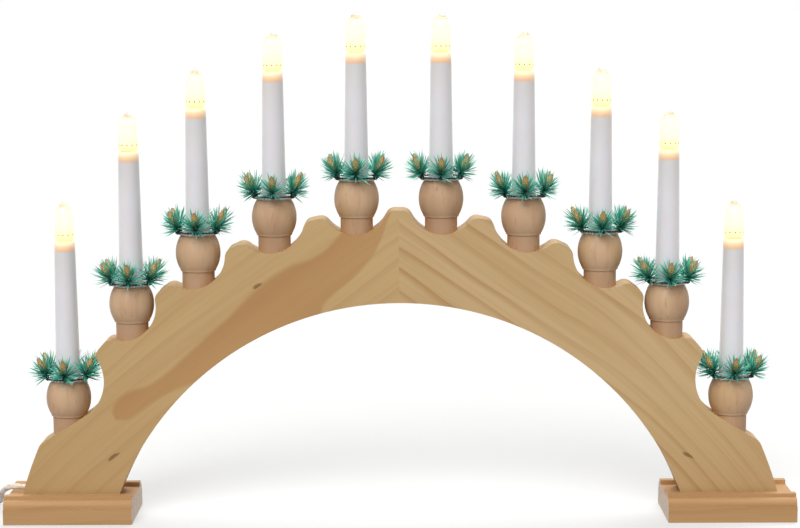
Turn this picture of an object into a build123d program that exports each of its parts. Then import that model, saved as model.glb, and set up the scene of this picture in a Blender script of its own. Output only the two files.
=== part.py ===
"""Wooden candle arch: two pine boards make a scalloped bow on two moulded feet.
Ten turned cups stand in the scallops, each with a candle tube, a screw-in lamp and a small fir wreath.
Frame: +X along the arch, +Y away from the viewer, +Z up, origin under the middle of the arch on the table.
"""
import math
import os

from build123d import *

os.makedirs("parts", exist_ok=True)

# Bow boards, each leg ending a toe's length inside the end of its foot
arch_span = 540.0
foot_toe = 10.52
bow_width = 63.0
bow_centre_depth = 57.0
board_thickness = 24.0

# Scalloped upper edge, angles counted from the crown, sizes as shares of the scallops' spacing
scallops_per_side = 4
scallop_pitch_deg = 12.2
scallop_radius_share = 0.412
scallop_rise_share = 0.15
end_scallop_deg = 56.35
end_scallop_radius_share = 0.508
end_scallop_rise_share = 0.129
ledge_fall_deg = 31.5
crest_round_share = 0.119

# Feet, a moulding with a channel along its top
foot_length = 87.5
foot_depth = 54.0
foot_height = 18.7
plinth_height = 10.8
plinth_ledge = 1.3
ovolo_height = 4.2
ovolo_fillet = 1.0
ovolo_step = 1.3
lip_width = 5.3
channel_width = 32.0
channel_depth = 2.9

# Turned cups
cup_top_radius = 11.8
cup_bead_radius = 15.2
cup_bead_height = 24.9
cup_bead_middle = 13.0
cup_collar_radius = 12.0
cup_collar_height = 0.8
cup_neck_radius = 11.0
cup_neck_length = 11.4
end_cup_neck_length = 6.6
end_cup_inset = 2.9
cup_sides = 16
cup_bands = 4
glue_line = 0.05

# Slim round pieces that repeat have this many sides
slim_sides = 14
small_sides = 8

# Candle tubes, all alike, seated deeper in the middle cups than in the outer ones
tube_length = 101.0
tube_base_radius = 8.5
tube_top_radius = 7.0
tube_clearance = 0.15
full_seat = 15.3
fourth_seat = 9.5
end_seat = 5.0

# Clear drip rings on the cups
drip_ring_radius = 13.8
drip_ring_thickness = 1.2
drip_ring_clearance = 0.2

# Screw-in candle lamps, heights counted from the top of the tube
cap_radius = 4.75
cap_length = 8.4
cap_depth = 7.6
cap_insulator_length = 1.3
cap_insulator_radius = 3.6
contact_radius = 2.0
contact_length = 0.7
socket_clearance = 0.15
lamp_joint_gap = 0.1
glass_radius = 6.75
glass_neck_radius = 4.5
glass_wall = 0.8
glass_shoulder_start = 0.1
glass_shoulder_end = 1.4
glass_straight_end = 16.0
glass_curve_radius = 5.4
glass_curve_end = 21.2
glass_point_radius = 1.4
glass_point_end = 25.6
glass_tip_radius = 0.5
glass_tip_end = 26.4

# Fir wreaths: a six-cornered wire ring with a sprig and a cone at each corner
wreath_corners = 6
wreath_turn_deg = 30.0
wreath_wire = 1.4
wreath_wire_radius = 15.5
wreath_gap = 0.1
sprig_rise_deg = 62.0
sprig_seat_gap = 0.3
sprig_core_radius = 1.6
sprig_core_length = 3.0
sprig_inset = 1.0
needles_per_ring = 4
steep_needle_deg = 52.0
steep_needle_length = 10.5
flat_needle_deg = 86.0
flat_needle_length = 7.8
cone_gap = 0.2
cone_sides = 6
cone_length = 12.0
cone_radius = 3.2
cone_foot_radius = 1.0
cone_belly_share = 0.36

# Wiring in a groove in the back of the bow
groove_inset = 24.5
groove_width = 5.0
wire_radius = 1.6
wire_sides = 5
wire_clearance = 0.3
wire_y = 2.0
cord_notch_height = 6.8

# Cord, folded into a hank beside the left foot, with x counted from that foot's end
cord_radius = 2.0
cord_sides = 5
cord_rise = 3.4
cord_lie = 2.05
cord_points = (
    (22.5, 2.0),
    (11.5, 2.0),
    (0.0, 3.5),
    (-8.0, 8.0),
    (-9.5, 17.5),
    (-14.5, 25.5),
    (-23.5, 30.2),
    (-34.5, 31.0),
    (-45.0, 31.0),
)
cord_height_shares = (1.0, 1.0, 1.041, 0.732, 0.26, 0.02, 0.0, 0.0, 0.0)
tail_points = (
    (-46.0, -11.0, 6.55),
    (-36.0, -11.0, 6.55),
    (-27.9, -5.1, 8.8),
    (-24.8, 4.4, 11.1),
    (-27.9, 13.9, 13.3),
    (-36.0, 19.8, 15.6),
    (-46.0, 19.8, 15.6),
)
arc_share = 0.45

# Hank: two layers of long loops, wound inwards below and outwards above
hank_run = 64.0
hank_offset = 50.0
hank_inner_fold = 14.25
hank_pitch = 4.5
hank_folds = 4
hank_spots = 600

# Two-pin plug lying on the hank
plug_length = 36.0
plug_width = 35.0
plug_thickness = 13.7
plug_neck_radius = 4.6
plug_corner = 3.0
plug_shoulder_share = 0.55
pin_radius = 2.0
pin_sides = 10
pin_length = 19.0
pin_spacing = 18.0

# Values worked out from the sizes above
half_thickness = board_thickness / 2
foot_end_x = arch_span / 2
foot_floor_z = foot_height - channel_depth
bow_centre_z = -bow_centre_depth
bow_outer_radius = math.hypot(foot_end_x - foot_toe, foot_floor_z - bow_centre_z)
bow_inner_radius = bow_outer_radius - bow_width
scallop_spacing = 2 * bow_outer_radius * math.sin(math.radians(scallop_pitch_deg / 2))
scallop_radius = scallop_radius_share * scallop_spacing
scallop_centre_radius = bow_outer_radius + scallop_rise_share * scallop_spacing
end_scallop_radius = end_scallop_radius_share * scallop_spacing
end_scallop_centre_radius = bow_outer_radius + end_scallop_rise_share * scallop_spacing
crest_round = crest_round_share * scallop_spacing
groove_radius = bow_inner_radius + groove_inset
cord_start_z = foot_floor_z + cord_rise
cord_heights = [cord_lie + share * (cord_start_z - cord_lie) for share in cord_height_shares]
cord_route = [(x - foot_end_x, y, z) for (x, y), z in zip(cord_points, cord_heights)]
tail_route = [(x - foot_end_x, y, z) for x, y, z in tail_points]


def around_bow(radius, angle_deg, side=1):
    """Point (x, z) at a radius from the bow's centre and an angle from the crown."""
    angle = math.radians(angle_deg)
    return (side * radius * math.sin(angle), bow_centre_z + radius * math.cos(angle))


def export(part, name):
    part.label = name
    export_step(part, f"parts/{name}.step")


scallop_degs = [(index + 0.5) * scallop_pitch_deg for index in range(scallops_per_side)]
end_centre_x, end_centre_z = around_bow(end_scallop_centre_radius, end_scallop_deg)
ledge_fall = math.radians(ledge_fall_deg)
ledge_along = (math.cos(ledge_fall), -math.sin(ledge_fall))
ledge_down = (-math.sin(ledge_fall), -math.cos(ledge_fall))


def scallop_floor(x, centre_x, centre_z, radius):
    """Height of a scallop's lower edge at x."""
    return centre_z - math.sqrt(radius**2 - (x - centre_x) ** 2)


def ledge_floor(x):
    """Height of the straight ledge beside the end scallop at x."""
    start_x = end_centre_x + end_scallop_radius * ledge_down[0]
    start_z = end_centre_z + end_scallop_radius * ledge_down[1]
    return start_z - (x - start_x) * math.tan(ledge_fall)


def draw_scallop(angle_deg, side, inset=0.0):
    """Cut one round scallop from the sketch that is open."""
    with Locations(around_bow(scallop_centre_radius, angle_deg, side)):
        Circle(scallop_radius - inset, mode=Mode.SUBTRACT)


def draw_end_scallop(side, inset=0.0):
    """Cut the end scallop and the straight ledge that leaves it at a tangent."""
    radius = end_scallop_radius - inset
    corner_x = end_centre_x + radius * ledge_down[0]
    corner_z = end_centre_z + radius * ledge_down[1]
    along = [scallop_spacing * part for part in ledge_along]
    points = [
        (end_centre_x, end_centre_z),
        (corner_x, corner_z),
        (corner_x + along[0], corner_z + along[1]),
        (end_centre_x + along[0], end_centre_z + along[1]),
    ]
    with Locations((side * end_centre_x, end_centre_z)):
        Circle(radius, mode=Mode.SUBTRACT)
    Polygon([(side * x, z) for x, z in points], align=None, mode=Mode.SUBTRACT)


# Where the wiring ends: at the last cup, and on the left low down, level with the cord
wire_end_deg = end_scallop_deg - math.degrees(groove_width / groove_radius)
wire_low_deg = math.degrees(math.acos((cord_start_z - bow_centre_z) / groove_radius))
wire_low_x = around_bow(groove_radius, wire_low_deg, -1)[0]

# Boards
for side, name in ((-1, "arch_left_board"), (1, "arch_right_board")):
    half_align = (Align.MIN if side > 0 else Align.MAX, Align.MIN)
    with BuildPart() as board:
        with BuildSketch(Plane.XZ) as outline:
            with Locations((0, bow_centre_z)):
                Circle(bow_outer_radius)
                Circle(bow_inner_radius, mode=Mode.SUBTRACT)
            with Locations((0, foot_floor_z)):
                Rectangle(bow_outer_radius, bow_outer_radius, align=half_align, mode=Mode.INTERSECT)
            for scallop_deg in scallop_degs:
                draw_scallop(scallop_deg, side)
            draw_end_scallop(side)
            crests = [
                corner
                for corner in outline.vertices()
                if abs(math.hypot(corner.X, corner.Y - bow_centre_z) - bow_outer_radius) < glue_line
                and abs(corner.X) > glue_line
                and corner.Y > foot_floor_z + glue_line
            ]
            fillet(crests, crest_round)
        extrude(amount=half_thickness, both=True)
        with BuildSketch(Plane.XZ.offset(-half_thickness)) as groove:
            with Locations((0, bow_centre_z)):
                Circle(groove_radius + groove_width / 2)
                Circle(groove_radius - groove_width / 2, mode=Mode.SUBTRACT)
            groove_end_z = around_bow(groove_radius, end_scallop_deg)[1] - groove_width
            with Locations((0, groove_end_z if side > 0 else foot_floor_z)):
                Rectangle(bow_outer_radius, bow_outer_radius, align=half_align, mode=Mode.INTERSECT)
        extrude(amount=half_thickness - wire_y + wire_radius + wire_clearance, mode=Mode.SUBTRACT)
        if side < 0:
            with BuildSketch(Plane.XZ.offset(-half_thickness)):
                with Locations((wire_low_x + groove_width, foot_floor_z)):
                    Rectangle(bow_outer_radius, cord_notch_height, align=(Align.MAX, Align.MIN))
            extrude(amount=half_thickness - wire_y + cord_radius + wire_clearance, mode=Mode.SUBTRACT)
    export(board.part, name)

# Feet
lip_outer = channel_width / 2 + lip_width
ovolo_top = plinth_height + ovolo_step + ovolo_height
foot_half = [
    (0, 0),
    (foot_depth / 2, 0),
    (foot_depth / 2, plinth_height),
    (foot_depth / 2 - plinth_ledge, plinth_height),
    (foot_depth / 2 - plinth_ledge, plinth_height + ovolo_step),
]
for side, name in ((-1, "left_foot"), (1, "right_foot")):
    inner_end = foot_end_x - foot_length
    with BuildPart() as foot:
        with BuildSketch(Plane.YZ.offset(side * inner_end)) as section:
            with BuildLine():
                Polyline(foot_half)
                bulge = EllipticalCenterArc(
                    (lip_outer + ovolo_fillet, plinth_height + ovolo_step),
                    foot_depth / 2 - plinth_ledge - lip_outer - ovolo_fillet,
                    ovolo_height,
                    start_angle=0,
                    arc_size=90,
                )
                Polyline(
                    bulge @ 1,
                    (lip_outer, ovolo_top),
                    (lip_outer, foot_height),
                    (channel_width / 2, foot_height),
                    (channel_width / 2, foot_floor_z),
                    (0, foot_floor_z),
                    (0, 0),
                )
            make_face()
            mirror(about=Plane.YZ)
        extrude(amount=side * foot_length)
    export(foot.part, name)

# Wiring in the back groove, from the cord's notch to the last cup
with BuildPart() as wiring:
    with BuildLine() as wire_path:
        with BuildLine(Plane.XZ.offset(-wire_y)):
            CenterArc((0, bow_centre_z), groove_radius, 90 - wire_end_deg, wire_end_deg + wire_low_deg)
    with BuildSketch(Plane(wire_path.line @ 0, z_dir=wire_path.line % 0)):
        RegularPolygon(wire_radius, wire_sides)
    sweep(path=wire_path.line)
    with BuildSketch(Plane((cord_route[0][0], wire_y, cord_start_z), z_dir=(1, 0, 0))):
        RegularPolygon(wire_radius, wire_sides)
    extrude(amount=wire_low_x - cord_route[0][0])
export(wiring.part, "wiring")

# Where each candle stands: number, side, scallop, x, height of the cup's top, seat depth
candles = []
for index, seat in enumerate([full_seat, full_seat, full_seat, fourth_seat, end_seat]):
    for side in (-1, 1):
        number = scallops_per_side + 2 + index if side > 0 else scallops_per_side + 1 - index
        if index < scallops_per_side:
            centre_x, centre_z = around_bow(scallop_centre_radius, scallop_degs[index])
            x = bow_outer_radius * math.sin(math.radians(scallop_degs[index]))
            neck = cup_neck_length
            floor_z = scallop_floor(x, centre_x, centre_z, scallop_radius)
        else:
            x = end_centre_x - end_cup_inset
            neck = end_cup_neck_length
            floor_z = ledge_floor(x)
        candles.append((number, side, index, side * x, floor_z + neck + cup_bead_height, seat))
candles.sort()
cup_tops = [(x, 0, top_z) for number, side, index, x, top_z, seat in candles]
tube_bases = [(x, 0, top_z - seat) for number, side, index, x, top_z, seat in candles]
tube_tops = [(x, y, base_z + tube_length) for x, y, base_z in tube_bases]


def ring(radius, z, sides):
    """Corners of a regular polygon at a height."""
    step = 2 * math.pi / sides
    return [(radius * math.cos(step * i), radius * math.sin(step * i), z) for i in range(sides)]


# Cups, each neck cut to the scallop that it stands in
collar_z = -cup_bead_height
neck_end = collar_z - cup_neck_length - cup_neck_radius
bead = Edge.make_three_point_arc(
    (cup_top_radius, 0, 0),
    (cup_bead_radius, 0, -cup_bead_middle),
    (cup_collar_radius, 0, collar_z + cup_collar_height),
)
bead_spots = [bead @ (band / cup_bands) for band in range(cup_bands + 1)]
bead_rings = [ring(spot.X, spot.Z, cup_sides) for spot in bead_spots]
with BuildPart() as candle_cups:
    for number, side, index, x, top_z, seat in candles:
        with BuildPart() as cup:
            with Locations((x, 0, top_z)):
                ConvexPolyhedron(sum(bead_rings, ring(cup_collar_radius, collar_z, cup_sides)))
            with BuildSketch(Plane((x, 0, top_z + collar_z))):
                RegularPolygon(cup_neck_radius, cup_sides)
            extrude(amount=neck_end - collar_z)
            with BuildSketch(Plane.XZ):
                with Locations((x, top_z - cup_bead_middle)):
                    Rectangle(2 * cup_bead_radius, -2 * neck_end, align=(Align.CENTER, Align.MAX))
                if index < scallops_per_side:
                    draw_scallop(scallop_degs[index], side, glue_line)
                else:
                    draw_end_scallop(side, glue_line)
            extrude(amount=cup_bead_radius, both=True, mode=Mode.SUBTRACT)
            with BuildSketch(Plane((x, 0, top_z))):
                RegularPolygon(tube_base_radius + tube_clearance, slim_sides)
            extrude(amount=-seat, mode=Mode.SUBTRACT)
        add(cup.part)
export(candle_cups.part, "candle_cups")

# Candle tubes with a socket for the lamp in the top
cap_base = -cap_depth - cap_length
contact_end = cap_base - cap_insulator_length - contact_length
socket_radius = (cap_radius + socket_clearance) / math.cos(math.pi / slim_sides)
with BuildPart() as tube:
    with BuildSketch():
        RegularPolygon(tube_base_radius, slim_sides)
    extrude(
        amount=tube_length,
        taper=math.degrees(math.atan((tube_base_radius - tube_top_radius) / tube_length)),
    )
    with BuildSketch(Plane.XY.offset(tube_length)):
        RegularPolygon(socket_radius, slim_sides)
    extrude(amount=contact_end - socket_clearance, mode=Mode.SUBTRACT)
with BuildPart() as candle_tubes:
    with Locations(tube_bases):
        add(tube.part)
export(candle_tubes.part, "candle_tubes")

# Lamp caps and glasses
with BuildPart() as cap:
    ConvexPolyhedron(
        ring(cap_radius, -cap_depth, small_sides)
        + ring(cap_radius, cap_base, small_sides)
        + ring(cap_insulator_radius, cap_base - cap_insulator_length, small_sides)
    )
    with BuildSketch(Plane.XY.offset(cap_base - cap_insulator_length)):
        RegularPolygon(contact_radius, small_sides)
    extrude(amount=-contact_length)
with BuildPart() as glass:
    ConvexPolyhedron(
        ring(glass_radius, glass_shoulder_end, slim_sides)
        + ring(glass_neck_radius, glass_shoulder_start, slim_sides)
        + ring(glass_radius, glass_straight_end, slim_sides)
        + ring(glass_curve_radius, glass_curve_end, slim_sides)
        + ring(glass_point_radius, glass_point_end, slim_sides)
        + ring(glass_tip_radius, glass_tip_end, slim_sides)
    )
    with BuildSketch(Plane.XY.offset(glass_shoulder_start)):
        RegularPolygon(glass_neck_radius, slim_sides)
    extrude(amount=lamp_joint_gap - cap_depth - glass_shoulder_start)
    ConvexPolyhedron(
        ring(glass_radius - glass_wall, glass_shoulder_end + glass_wall, small_sides)
        + ring(glass_radius - glass_wall, glass_straight_end, small_sides)
        + ring(glass_curve_radius - glass_wall, glass_curve_end - glass_wall, small_sides),
        mode=Mode.SUBTRACT,
    )
for number, (x, y, z) in enumerate(tube_tops, start=1):
    export(cap.part.moved(Location((x, y, z))), f"lamp_base_{number:02d}")
    export(glass.part.moved(Location((x, y, z))), f"lamp_glass_{number:02d}")

# Drip rings
with BuildPart() as drip_ring:
    with BuildSketch():
        RegularPolygon(drip_ring_radius, slim_sides)
        RegularPolygon(tube_base_radius + drip_ring_clearance, slim_sides, mode=Mode.SUBTRACT)
    extrude(amount=drip_ring_thickness)
with BuildPart() as drip_rings:
    with Locations(cup_tops):
        add(drip_ring.part)
export(drip_rings.part, "drip_rings")

# Wreath wires
wire_base = drip_ring_thickness + wreath_gap
with BuildPart() as wire_ring:
    with BuildSketch(Plane.XY.offset(wire_base)):
        RegularPolygon(wreath_wire_radius + wreath_wire / 2, wreath_corners, rotation=wreath_turn_deg)
        RegularPolygon(
            wreath_wire_radius - wreath_wire / 2,
            wreath_corners,
            rotation=wreath_turn_deg,
            mode=Mode.SUBTRACT,
        )
    extrude(amount=wreath_wire)
with BuildPart() as wreath_wires:
    with Locations(cup_tops):
        add(wire_ring.part)
export(wreath_wires.part, "wreath_wires")

# One sprig: a short core, each of its side faces drawn out to a needle, its axis along Z
needle_step = math.radians(360 / needles_per_ring)
low_ring = [Vector(*corner) for corner in ring(sprig_core_radius, 0, needles_per_ring)]
high_ring = [corner.rotate(Axis.Z, 180 / needles_per_ring) for corner in low_ring]
high_ring = [corner + Vector(0, 0, sprig_core_length) for corner in high_ring]
core_middle = Vector(0, 0, sprig_core_length / 2)


def needle_tip(turn, lean_deg, length):
    """End of a needle that leans from the sprig's axis."""
    lean = math.radians(lean_deg)
    way = Vector(math.sin(lean) * math.cos(turn), math.sin(lean) * math.sin(turn), math.cos(lean))
    return core_middle + way * length


with BuildPart() as sprig:
    ConvexPolyhedron(low_ring + high_ring)
    for step in range(needles_per_ring):
        turn = needle_step * step
        steep_face = [low_ring[step], high_ring[step - 1], high_ring[step]]
        flat_face = [high_ring[step - 1], low_ring[step - 1], low_ring[step]]
        steep_tip = needle_tip(turn, steep_needle_deg, steep_needle_length)
        flat_tip = needle_tip(turn - needle_step / 2, flat_needle_deg, flat_needle_length)
        ConvexPolyhedron(steep_face + [steep_tip])
        ConvexPolyhedron(flat_face + [flat_tip])

# One cone on the sprig's axis
with BuildPart() as cone:
    foot_z = sprig_core_length + cone_gap
    ConvexPolyhedron(
        ring(cone_foot_radius, foot_z, cone_sides)
        + ring(cone_radius, foot_z + cone_belly_share * cone_length, cone_sides)
        + [(0, 0, foot_z + cone_length)]
    )

# Sprigs and cones round every cup
rise = math.radians(sprig_rise_deg)
sprig_radius = wreath_wire_radius - sprig_inset
sprig_foot = wire_base + wreath_wire + sprig_seat_gap + sprig_core_radius * math.cos(rise)
sprig_places = []
for x, y, z in cup_tops:
    for corner in range(wreath_corners):
        turn = math.radians(wreath_turn_deg + 360 / wreath_corners * corner)
        outward = Vector(math.cos(turn), math.sin(turn), 0)
        place = Plane(
            origin=(x + sprig_radius * outward.X, y + sprig_radius * outward.Y, z + sprig_foot),
            x_dir=(-outward.Y, outward.X, 0),
            z_dir=(math.cos(rise) * outward.X, math.cos(rise) * outward.Y, math.sin(rise)),
        )
        sprig_places.append(place.location)
with BuildPart() as wreath_sprigs:
    with Locations(sprig_places):
        add(sprig.part)
export(wreath_sprigs.part, "wreath_sprigs")
with BuildPart() as wreath_cones:
    with Locations(sprig_places):
        add(cone.part)
export(wreath_cones.part, "wreath_cones")


def cord_radii(points):
    """Largest bend that two runs allow at each point between the ends."""
    radii = []
    for before, here, after in zip(points, points[1:], points[2:]):
        run_in = Vector(here) - Vector(before)
        run_out = Vector(after) - Vector(here)
        shorter = min(run_in.length, run_out.length)
        radii.append(arc_share * shorter / math.tan(math.radians(run_in.get_angle(run_out) / 2)))
    return radii


def least_gap(path, apart):
    """Least distance between points of a path that lie further apart than this along it."""
    spots = [path @ (step / hank_spots) for step in range(hank_spots + 1)]
    skip = math.ceil(apart / path.length * hank_spots)
    return min(
        (spots[one] - spots[two]).length
        for one in range(hank_spots + 1)
        for two in range(one + skip, hank_spots + 1)
    )


# Cord and its tail, at the two ends of the hank
cord_length = 0
with BuildPart() as cord:
    for points in (cord_route, tail_route):
        with BuildPart() as lead:
            with BuildLine() as route:
                FilletPolyline(*points, radius=cord_radii(points))
            with BuildSketch(Plane(route.line @ 0, z_dir=route.line % 0)) as lead_section:
                RegularPolygon(cord_radius, cord_sides)
            sweep(path=route.line)
        add(lead.part)
        run_length = route.wires()[0].length
        cord_length += run_length
        print("cord radii", [round(radius, 1) for radius in cord_radii(points)])
        print("cord volume share", round(lead.part.volume / lead_section.sketch.area / run_length, 4))
export(cord.part, "cord")


def arc_middle(start, end, end_way):
    """Middle of the arc from start to end that arrives along end_way."""
    chord = Vector(end) - Vector(start)
    way = Vector(end_way).normalized()
    across = way - chord.normalized() * way.dot(chord.normalized())
    half_turn = math.radians(chord.get_angle(way))
    rise = chord.length / 2 * math.tan(half_turn / 2)
    return Vector(start) + chord / 2 - across.normalized() * rise


# Hank, from the cord's end to the tail's start
hank_start = Vector(cord_route[-1])
hank_end = Vector(tail_route[0])
hank_left_x = -foot_end_x - hank_offset - hank_run
hank_layer = hank_end.Z - hank_start.Z
fold_radii = [hank_inner_fold + fold * hank_pitch / 2 for fold in range(hank_folds)]
with BuildPart() as cord_coil:
    with BuildLine() as turns:
        heading = -1
        spot = Vector(hank_left_x, hank_start.Y, hank_start.Z)
        Line(hank_start, spot)
        for radius in reversed(fold_radii):
            far = spot + Vector(0, 2 * heading * radius, 0)
            ThreePointArc(spot, spot + Vector(heading * radius, heading * radius, 0), far)
            heading = -heading
            spot = far + Vector(heading * hank_run, 0, 0)
            Line(far, spot)
        climb = hank_inner_fold - hank_pitch / 2
        bend = math.hypot(climb, hank_layer / 2)
        middle = spot + Vector(heading * bend, heading * climb, hank_layer / 2)
        far = spot + Vector(0, 2 * heading * climb, hank_layer)
        TangentArc(spot, middle, tangent=(heading, 0, 0))
        ThreePointArc(middle, arc_middle(middle, far, (-heading, 0, 0)), far)
        heading = -heading
        for radius in fold_radii:
            spot = far + Vector(heading * hank_run, 0, 0)
            Line(far, spot)
            far = spot + Vector(0, 2 * heading * radius, 0)
            ThreePointArc(spot, spot + Vector(heading * radius, heading * radius, 0), far)
            heading = -heading
        Line(far, hank_end)
    with BuildSketch(Plane(hank_start, z_dir=(-1, 0, 0))) as hank_section:
        RegularPolygon(cord_radius, cord_sides)
    sweep(path=turns.line)
export(cord_coil.part, "cord_coil")
hank_path = turns.wires()[0]
cord_length += hank_path.length
hank_gap = least_gap(hank_path, 2 * math.pi * climb) - 2 * cord_radius
print("hank end", far, "least gap", round(hank_gap, 2), "cord length", round(cord_length, 1))
print("hank volume share", round(cord_coil.part.volume / hank_section.sketch.area / hank_path.length, 4))


def plug_ring(width, thickness, x):
    """Corners of a rectangle with cut corners, square to the plug's length."""
    cut = min(plug_corner, thickness / 2)
    half_width = width / 2
    half_height = thickness / 2
    quarter = [(half_width, half_height - cut), (half_width - cut, half_height)]
    return [(x, sy * y, sz * z) for sy in (-1, 1) for sz in (-1, 1) for y, z in quarter]


# Plug, its pins pointing away from the arch
with BuildPart() as plug:
    with Locations(tail_route[-1]):
        ConvexPolyhedron(
            plug_ring(2 * plug_neck_radius, 2 * plug_neck_radius, 0)
            + plug_ring(plug_width, plug_thickness, -plug_shoulder_share * plug_length)
            + plug_ring(plug_width, plug_thickness, -plug_length)
        )
export(plug.part, "plug")
plug_x, plug_y, plug_z = tail_route[-1]
pin_plane = Plane(origin=(plug_x - plug_length, plug_y, plug_z), x_dir=(0, 1, 0), z_dir=(-1, 0, 0))
with BuildPart() as plug_pins:
    with BuildSketch(pin_plane):
        with GridLocations(pin_spacing, pin_spacing, 2, 1):
            RegularPolygon(pin_radius, pin_sides)
    extrude(amount=pin_length)
export(plug_pins.part, "plug_pins")
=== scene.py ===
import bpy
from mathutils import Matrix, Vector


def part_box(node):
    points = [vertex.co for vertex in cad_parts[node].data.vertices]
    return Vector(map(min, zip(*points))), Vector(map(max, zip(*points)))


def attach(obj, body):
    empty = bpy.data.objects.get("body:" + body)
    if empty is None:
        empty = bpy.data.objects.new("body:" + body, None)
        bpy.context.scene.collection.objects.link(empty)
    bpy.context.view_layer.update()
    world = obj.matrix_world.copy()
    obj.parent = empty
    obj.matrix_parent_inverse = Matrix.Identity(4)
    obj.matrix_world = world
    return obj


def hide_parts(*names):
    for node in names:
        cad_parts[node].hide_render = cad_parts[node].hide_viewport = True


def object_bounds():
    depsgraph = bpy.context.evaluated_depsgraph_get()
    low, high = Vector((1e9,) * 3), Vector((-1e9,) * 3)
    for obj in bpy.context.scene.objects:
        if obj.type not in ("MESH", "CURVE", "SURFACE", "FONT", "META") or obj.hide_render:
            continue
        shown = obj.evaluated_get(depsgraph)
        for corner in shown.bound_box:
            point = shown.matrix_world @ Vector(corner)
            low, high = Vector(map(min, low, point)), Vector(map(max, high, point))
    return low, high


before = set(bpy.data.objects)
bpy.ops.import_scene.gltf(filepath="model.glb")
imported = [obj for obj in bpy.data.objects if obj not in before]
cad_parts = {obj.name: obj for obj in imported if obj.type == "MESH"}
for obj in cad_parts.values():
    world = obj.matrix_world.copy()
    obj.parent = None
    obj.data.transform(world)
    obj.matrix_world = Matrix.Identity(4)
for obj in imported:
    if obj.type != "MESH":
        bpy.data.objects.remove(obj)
cad_box = [list(corner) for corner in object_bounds()]

import math
import random

import bmesh
import bpy
from mathutils import Matrix, Vector

mm = 0.001

# Camera
camera_place = Vector((2.81, -1282.7, 351.0)) * mm
camera_pitch_deg = 7.83
camera_yaw_deg = 0.097
camera_roll_deg = -0.238
camera_lens = 85.5

# Bow and scallops, angles counted from the crown
bow_centre_z = -57.0 * mm
scallop_pitch_deg = 12.2
scallop_radius = 23.6 * mm
scallop_centre_radius = 278.09 * mm
end_scallop_deg = 56.35
end_scallop_radius = 29.1 * mm
end_scallop_centre_radius = 276.89 * mm
ledge_fall_deg = 31.5
board_edge = 1.3 * mm
foot_edge = 0.5 * mm
plug_edge = 1.2 * mm
pin_edge = 0.5 * mm
edge_segments = 3
edge_angle_deg = 38.0
weld_distance = 0.005 * mm
candles_per_side = 5

# Turned cups, heights counted from the top
cup_top_radius = 11.8 * mm
cup_bead_radius = 15.2 * mm
cup_bead_middle = 13.0 * mm
cup_bead_height = 24.9 * mm
cup_collar_radius = 12.0 * mm
cup_collar_height = 0.8 * mm
cup_neck_radius = 11.0 * mm
cup_bore_depth = 4.0 * mm
cup_edge = 0.9 * mm
cup_bore_gap = 0.15 * mm
cup_mouth_gap = 0.5 * mm
cup_mouth_depth = 0.3 * mm
cup_collar_edge = 0.2 * mm
cup_collar_round = 0.3 * mm
cup_neck_fillet = 0.15 * mm
cup_neck_start = 1.2 * mm
cup_belly_steps = 18
cup_sharp_deg = 32.0

# Candle tubes, heights counted from the top
tube_length = 101.0 * mm
tube_base_radius = 8.5 * mm
tube_top_radius = 7.0 * mm
tube_lip = 0.9 * mm
tube_bore_radius = 5.1 * mm
tube_bore_depth = 18.0 * mm
tube_row_shares = (0.8, 0.6, 0.4, 0.25, 0.12, 0.06, 0.03)
glow_depth = 7.2 * mm

# Lamps, heights counted from the top of the tube
glass_radius = 6.75 * mm
glass_neck_radius = 4.45 * mm
glass_neck_end = -7.4 * mm
glass_neck_round = 0.35 * mm
glass_wall = 0.45 * mm
glass_shoulder_end = 1.6 * mm
glass_straight_end = 16.0 * mm
glass_ogive_radius = 11.29 * mm
glass_point_end = 25.3 * mm
glass_tip_end = 26.35 * mm
glass_tip_radius = 0.45 * mm
glass_tip_round = 0.25 * mm
glass_point_radius = 0.95 * mm
glass_point_steps = 14
glass_shoulder = ((0.7, -0.55), (0.15, 0.0), (0.0, 0.8))  # inset and rise from the shoulder's end, in mm
tip_root_radius = 0.72 * mm
tip_root_rise = 0.45 * mm
tip_solid_length = 2.4 * mm
inner_point_radius = 0.4 * mm
inner_point_gap = 0.3 * mm
lamp_rise = 26.4 * mm
tip_cloud_start = 20.0 * mm
tip_curl = 0.7 * mm
tip_curl_start = 21.0 * mm
tip_curl_turn = 2.4
curl_seed = 5
bead_height = 4.3 * mm
bead_ring_radius = 4.9 * mm
bead_size = 0.45 * mm
beads_per_lamp = 10
bead_sides = 10

# The filament's light as radii and heights in mm, with a groove for the beads
light_profile = (
    (0, 0.7),
    (4.2, 0.8),
    (5.6, 2.3),
    (5.4, 3.2),
    (4.4, 3.7),
    (4.4, 4.9),
    (5.4, 5.4),
    (5.7, 6.6),
    (5.7, 14.0),
    (5.2, 16.6),
    (4.0, 18.8),
    (2.0, 20.1),
    (0, 20.4),
)
light_sides = 40

# Drip rings and wreaths, heights counted from the top of the cup
ring_radius = 13.7 * mm
ring_hole_radius = 8.7 * mm
ring_thickness = 1.2 * mm
ring_lift = 0.1 * mm
ring_round = 0.2 * mm
ring_sides = 48
wire_height = 2.0 * mm
wire_ring_radius = 14.9 * mm
wire_strand_radius = 0.4 * mm
wire_twists = 22
steps_per_twist = 6
strand_share = 0.8
coil_radius = 1.25 * mm
coil_squeeze = 0.85
coil_length = 2.4 * mm
coil_turns = 3
steps_per_turn = 10
stem_radius = 0.8 * mm
stem_sides = 7
strand_sides = 6
sprigs_per_wreath = 6
sprig_turn_deg = 30.0
sprig_rise_deg = 62.0
sprig_radius = 14.5 * mm
sprig_height = 3.75 * mm
sprig_core_length = 3.0 * mm
needles_per_sprig = 74
needle_width = 0.95 * mm
needle_reach = 28.5 * mm
needle_depth = 25.4 * mm
needle_side_gap = 1.2 * mm
needle_tube_gap = 0.5 * mm
needle_root = 0.5 * mm
needle_fold = 0.12 * mm
needle_cut = 0.6 * mm
needle_steps = 4
needle_lean_deg = 18.0
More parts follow.
